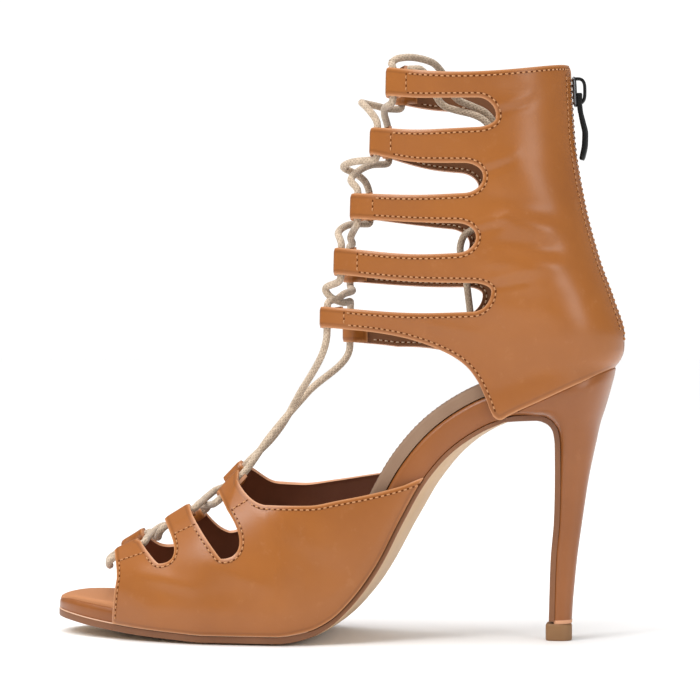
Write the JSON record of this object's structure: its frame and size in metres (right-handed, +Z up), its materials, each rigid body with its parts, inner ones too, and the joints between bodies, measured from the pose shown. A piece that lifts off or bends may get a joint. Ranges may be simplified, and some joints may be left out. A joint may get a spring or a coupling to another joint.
{
  "type": "latin dance shoe",
  "caption": "Open-toe lace-up dance bootie for the left foot: leather loops over the instep, cut-out ankle straps, a back zip and a stiletto heel.",
  "frame": {"origin": "on the floor, on the sole's centreline under the ball of the foot", "axes": "+X from the toe to the heel, +Y towards the inner (medial) side of this left shoe, +Z up"},
  "size_m": [0.2207, 0.0831, 0.2226],
  "materials": {
    "outsole_leather": "brown, smooth, lightly waxed",
    "upper_leather": "tan, smooth, satin",
    "wrapped_leather": "tan leather wrapped over the platform and heel, satin",
    "sock_fabric": "taupe padded sock, matt",
    "lift_rubber": "olive brown, matt",
    "zip_tape_cloth": "black woven tape",
    "zip_metal": "nickel",
    "pull_metal": "black satin",
    "lace_cotton": "cream and khaki round braid"
  },
  "bodies": {
    "shoe": {"heel": "wrapped_leather", "insole": "sock_fabric", "lace_cross_1": "lace_cotton", "lace_cross_2": "lace_cotton", "lace_cross_3": "lace_cotton", "lace_cross_4": "lace_cotton", "lace_cross_5": "lace_cotton", "lace_cross_6": "lace_cotton", "lace_cross_7": "lace_cotton", "lace_end_long": "lace_cotton", "lace_end_short": "lace_cotton", "lace_toe_bar": "lace_cotton", "midsole": "wrapped_leather", "outsole": "outsole_leather", "quarter": "upper_leather", "top_lift": "lift_rubber", "vamp_lateral": "upper_leather", "vamp_medial": "upper_leather", "zip_slider": "zip_metal", "zip_tape": "zip_tape_cloth", "zip_teeth": "zip_metal"},
    "zip_pull": {"zip_pull": "pull_metal"}
  },
  "joints": [
    {"name": "zip_pull_hinge", "type": "hinge", "parent": "shoe", "child": "zip_pull", "pos_m": [0.12272, 0, 0.2068], "axis": [0, -1, 0], "range_deg": [0, 150]}
  ]
}
